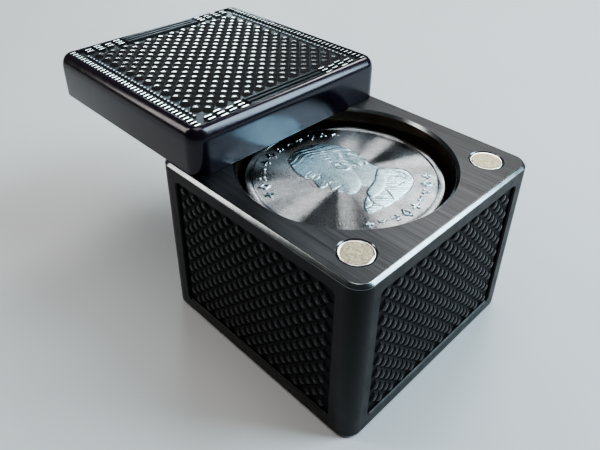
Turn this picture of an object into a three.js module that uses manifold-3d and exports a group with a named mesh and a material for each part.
// A square machined coin capsule: a bored base, a loose lid held by corner magnets, and the coins it keeps.
// Millimetres, +Z up. The origin is at the centre of the base's underside.
import * as THREE from 'three';
import { mergeVertices } from 'three/addons/utils/BufferGeometryUtils.js';
import Module from 'manifold-3d';

// The coin and the stack
const COIN_RADIUS = 19;
const COIN_THICKNESS = 3.29;
const COIN_RIM_WIDTH = 1.1;
const COIN_FIELD_DEPTH = 0.25;
const COIN_EDGE_BREAK = 0.15;
const COIN_GAP = 0.03;
const COIN_COUNT = 9;
const STACK_CAPACITY = 10;

// The base
const COIN_CLEARANCE = 1.6;
const WALL = 4.4;
const FLOOR = 2.38;
const CORNER_RADIUS = 3.2;
const EDGE_CHAMFER = 0.6;
const BORE_CHAMFER = 0.6;

// The recessed panel in each side, which carries the knurled teeth
const PANEL_SIDE_MARGIN = 4.8;
const PANEL_END_MARGIN = 2.95;
const PANEL_CORNER_RADIUS = 1.2;
const PANEL_DEPTH = 0.6;

// The soft discs at both ends of the stack
const PAD_THICKNESS = 0.4;
const PAD_CLEARANCE = 0.3;

// The film of glue under each pad and magnet
const GLUE_GAP = 0.02;

// The corner magnets
const MAGNET_RADIUS = 3;
const MAGNET_HEIGHT = 3;
const MAGNET_EDGE_BREAK = 0.25;
const MAGNET_CLEARANCE = 0.18;
const MAGNET_SINK = 0.05;
const MAGNET_INSET = 6.2;

// The lid
const LID_HEIGHT = 9.2;
const LID_EDGE_WIDTH = 1.8;
const LID_EDGE_HEIGHT = 3;
const LID_GAP = 0.1;
const LID_RECESS_DEPTH = 0.8;
// Where the open lid lies, from its closed place: nearly one magnet spacing to the left.
const LID_AWAY_X = -38.4;
const LID_AWAY_Y = 0.6;

// Steps round curved surfaces
const BORE_STEPS = 96;
const COIN_STEPS = 56;
const MAGNET_STEPS = 28;
const CORNER_STEPS = 6;
const LID_EDGE_STEPS = 6;
const CUT_PAST = 1;

// Sizes that follow from those above
const BORE_RADIUS = COIN_RADIUS + COIN_CLEARANCE;
const SIDE = 2 * (BORE_RADIUS + WALL);
const COIN_PITCH = COIN_THICKNESS + COIN_GAP;
const PAD_TOP = FLOOR + GLUE_GAP + PAD_THICKNESS;
const BASE_HEIGHT = PAD_TOP + STACK_CAPACITY * COIN_PITCH;
const LID_BOTTOM = BASE_HEIGHT + LID_GAP;
const MAGNET_CENTRE = SIDE / 2 - MAGNET_INSET;
const MAGNET_POCKET_RADIUS = MAGNET_RADIUS + MAGNET_CLEARANCE;
const MAGNET_POCKET_DEPTH = MAGNET_HEIGHT + MAGNET_SINK + GLUE_GAP;

const wasm = await Module();
wasm.setup();

const material = (colour, roughness, metalness) =>
  new THREE.MeshStandardMaterial({ color: colour, roughness, metalness });

const anodised = material(0x202124, 0.34, 0.9);
const nickel = material(0xb9b4a6, 0.3, 1);
const silver = material(0xd8dade, 0.18, 1);
const rubber = material(0x17181a, 0.9, 0);

// Turns a closed geometry into a solid that can be joined and cut.
function toSolid(geometry) {
  const bare = geometry.index ? geometry.toNonIndexed() : geometry.clone();
  bare.deleteAttribute('normal');
  bare.deleteAttribute('uv');
  const merged = mergeVertices(bare, 1e-5);
  return new wasm.Manifold(new wasm.Mesh({
    numProp: 3,
    vertProperties: new Float32Array(merged.attributes.position.array),
    triVerts: new Uint32Array(merged.index.array),
  }));
}

// Turns a solid back into a geometry.
function toGeometry(solid) {
  const mesh = solid.getMesh();
  const geometry = new THREE.BufferGeometry();
  geometry.setAttribute('position', new THREE.BufferAttribute(new Float32Array(mesh.vertProperties), 3));
  geometry.setIndex(new THREE.BufferAttribute(new Uint32Array(mesh.triVerts), 1));
  geometry.computeVertexNormals();
  return geometry;
}

// A rounded rectangle centred on the origin.
function roundedRectangle(width, height, radius) {
  const shape = new THREE.Shape();
  const x = width / 2 - radius;
  const y = height / 2 - radius;
  shape.absarc(x, -y, radius, -Math.PI / 2, 0);
  shape.absarc(x, y, radius, 0, Math.PI / 2);
  shape.absarc(-x, y, radius, Math.PI / 2, Math.PI);
  shape.absarc(-x, -y, radius, Math.PI, 1.5 * Math.PI);
  shape.closePath();
  return shape;
}

// A square block with round vertical corners. Its top and bottom edges are broken by the same bevel,
// which takes bevelWidth off the face and bevelHeight off the side.
function block(height, bevelWidth, bevelHeight, bevelSteps) {
  const inner = SIDE - 2 * bevelWidth;
  const geometry = new THREE.ExtrudeGeometry(roundedRectangle(inner, inner, CORNER_RADIUS - bevelWidth), {
    depth: height - 2 * bevelHeight,
    bevelEnabled: true,
    bevelThickness: bevelHeight,
    bevelSize: bevelWidth,
    bevelSegments: bevelSteps,
    curveSegments: CORNER_STEPS,
  });
  geometry.translate(0, 0, bevelHeight);
  return geometry;
}

// A solid of revolution about Z from points [radius, height] that start and end on the axis.
function turned(points, steps) {
  const profile = points.map(([radius, height]) => new THREE.Vector2(radius, height));
  const geometry = new THREE.LatheGeometry(profile, steps);
  geometry.rotateX(Math.PI / 2);
  return geometry;
}

function cylinder(radius, bottom, top, steps) {
  return turned([[0, bottom], [radius, bottom], [radius, top], [0, top]], steps);
}

// The four corner magnet centres, with the name of each corner.
const MAGNET_CORNERS = [
  ['front_right', 1, -1],
  ['back_right', 1, 1],
  ['back_left', -1, 1],
  ['front_left', -1, -1],
];

// Blind round pockets at the four corners, from one height to another.
function magnetPockets(bottom, top) {
  return MAGNET_CORNERS.map(([, sideX, sideY]) => {
    const pocket = cylinder(MAGNET_POCKET_RADIUS, bottom, top, MAGNET_STEPS);
    pocket.translate(sideX * MAGNET_CENTRE, sideY * MAGNET_CENTRE, 0);
    return toSolid(pocket);
  });
}

// The shallow recess in each side of the base.
function sidePanels() {
  const width = SIDE - 2 * PANEL_SIDE_MARGIN;
  const height = BASE_HEIGHT - 2 * PANEL_END_MARGIN;
  const outline = roundedRectangle(width, height, PANEL_CORNER_RADIUS);
  return [0, 1, 2, 3].map((turn) => {
    const panel = new THREE.ExtrudeGeometry(outline, {
      depth: PANEL_DEPTH + CUT_PAST,
      bevelEnabled: false,
      curveSegments: CORNER_STEPS,
    });
    panel.rotateX(Math.PI / 2);
    panel.translate(0, -(SIDE / 2 - PANEL_DEPTH), BASE_HEIGHT / 2);
    panel.rotateZ(turn * Math.PI / 2);
    return toSolid(panel);
  });
}

// The base's bore, with its chamfered mouth.
function bore() {
  const mouth = BASE_HEIGHT + CUT_PAST;
  return toSolid(turned([
    [0, FLOOR],
    [BORE_RADIUS, FLOOR],
    [BORE_RADIUS, BASE_HEIGHT - BORE_CHAMFER],
    [BORE_RADIUS + BORE_CHAMFER + CUT_PAST, mouth],
    [0, mouth],
  ], BORE_STEPS));
}

function baseGeometry() {
  const pockets = magnetPockets(BASE_HEIGHT - MAGNET_POCKET_DEPTH, BASE_HEIGHT + CUT_PAST);
  const cuts = [bore(), ...sidePanels(), ...pockets];
  const whole = toSolid(block(BASE_HEIGHT, EDGE_CHAMFER, EDGE_CHAMFER, 1));
  return toGeometry(cuts.reduce((solid, cut) => solid.subtract(cut), whole));
}

// The block for the lid is made too tall by the height of its round edge. Its round lower edge is cut away.
function lidGeometry() {
  const tall = block(LID_HEIGHT + LID_EDGE_HEIGHT, LID_EDGE_WIDTH, LID_EDGE_HEIGHT, LID_EDGE_STEPS);
  tall.translate(0, 0, -LID_EDGE_HEIGHT);
  const below = new THREE.BoxGeometry(2 * SIDE, 2 * SIDE, 2 * LID_EDGE_HEIGHT);
  below.translate(0, 0, -LID_EDGE_HEIGHT);
  const recess = cylinder(BORE_RADIUS, -CUT_PAST, LID_RECESS_DEPTH, BORE_STEPS);
  const cuts = [toSolid(below), toSolid(recess), ...magnetPockets(-CUT_PAST, MAGNET_POCKET_DEPTH)];
  return toGeometry(cuts.reduce((solid, cut) => solid.subtract(cut), toSolid(tall)));
}

function padGeometry() {
  return cylinder(BORE_RADIUS - PAD_CLEARANCE, 0, PAD_THICKNESS, BORE_STEPS);
}

function magnetGeometry() {
  const edge = MAGNET_RADIUS - MAGNET_EDGE_BREAK;
  return turned([
    [0, 0],
    [edge, 0],
    [MAGNET_RADIUS, MAGNET_EDGE_BREAK],
    [MAGNET_RADIUS, MAGNET_HEIGHT - MAGNET_EDGE_BREAK],
    [edge, MAGNET_HEIGHT],
    [0, MAGNET_HEIGHT],
  ], MAGNET_STEPS);
}

// A coin with a raised rim on both faces.
function coinGeometry() {
  const field = COIN_RADIUS - COIN_RIM_WIDTH;
  const lip = field + COIN_FIELD_DEPTH;
  const edge = COIN_RADIUS - COIN_EDGE_BREAK;
  return turned([
    [0, COIN_FIELD_DEPTH],
    [field, COIN_FIELD_DEPTH],
    [lip, 0],
    [edge, 0],
    [COIN_RADIUS, COIN_EDGE_BREAK],
    [COIN_RADIUS, COIN_THICKNESS - COIN_EDGE_BREAK],
    [edge, COIN_THICKNESS],
    [lip, COIN_THICKNESS],
    [field, COIN_THICKNESS - COIN_FIELD_DEPTH],
    [0, COIN_THICKNESS - COIN_FIELD_DEPTH],
  ], COIN_STEPS);
}

function piece(name, geometry, look, x = 0, y = 0, z = 0) {
  const mesh = new THREE.Mesh(geometry, look);
  mesh.name = name;
  mesh.position.set(x, y, z);
  return mesh;
}

// Four magnets standing on one height, named for where they sit.
function magnets(prefix, bottom) {
  return MAGNET_CORNERS.map(([corner, sideX, sideY]) => {
    const x = sideX * MAGNET_CENTRE;
    const y = sideY * MAGNET_CENTRE;
    return piece(`${prefix}_${corner}`, magnetGeometry(), nickel, x, y, bottom);
  });
}

const capsule = new THREE.Group();
capsule.add(piece('base_body', baseGeometry(), anodised));
capsule.add(piece('bore_pad', padGeometry(), rubber, 0, 0, FLOOR + GLUE_GAP));
capsule.add(...magnets('base_magnet', BASE_HEIGHT - MAGNET_SINK - MAGNET_HEIGHT));
for (let index = 0; index < COIN_COUNT; index += 1) {
  const bottom = PAD_TOP + COIN_GAP + index * COIN_PITCH;
  capsule.add(piece(`coin_${index + 1}`, coinGeometry(), silver, 0, 0, bottom));
}

const lid = new THREE.Group();
lid.position.set(LID_AWAY_X, LID_AWAY_Y, LID_BOTTOM);
lid.add(piece('lid_shell', lidGeometry(), anodised));
lid.add(piece('lid_pad', padGeometry(), rubber, 0, 0, LID_RECESS_DEPTH - GLUE_GAP - PAD_THICKNESS));
lid.add(...magnets('lid_magnet', MAGNET_SINK));
capsule.add(lid);

export default capsule;
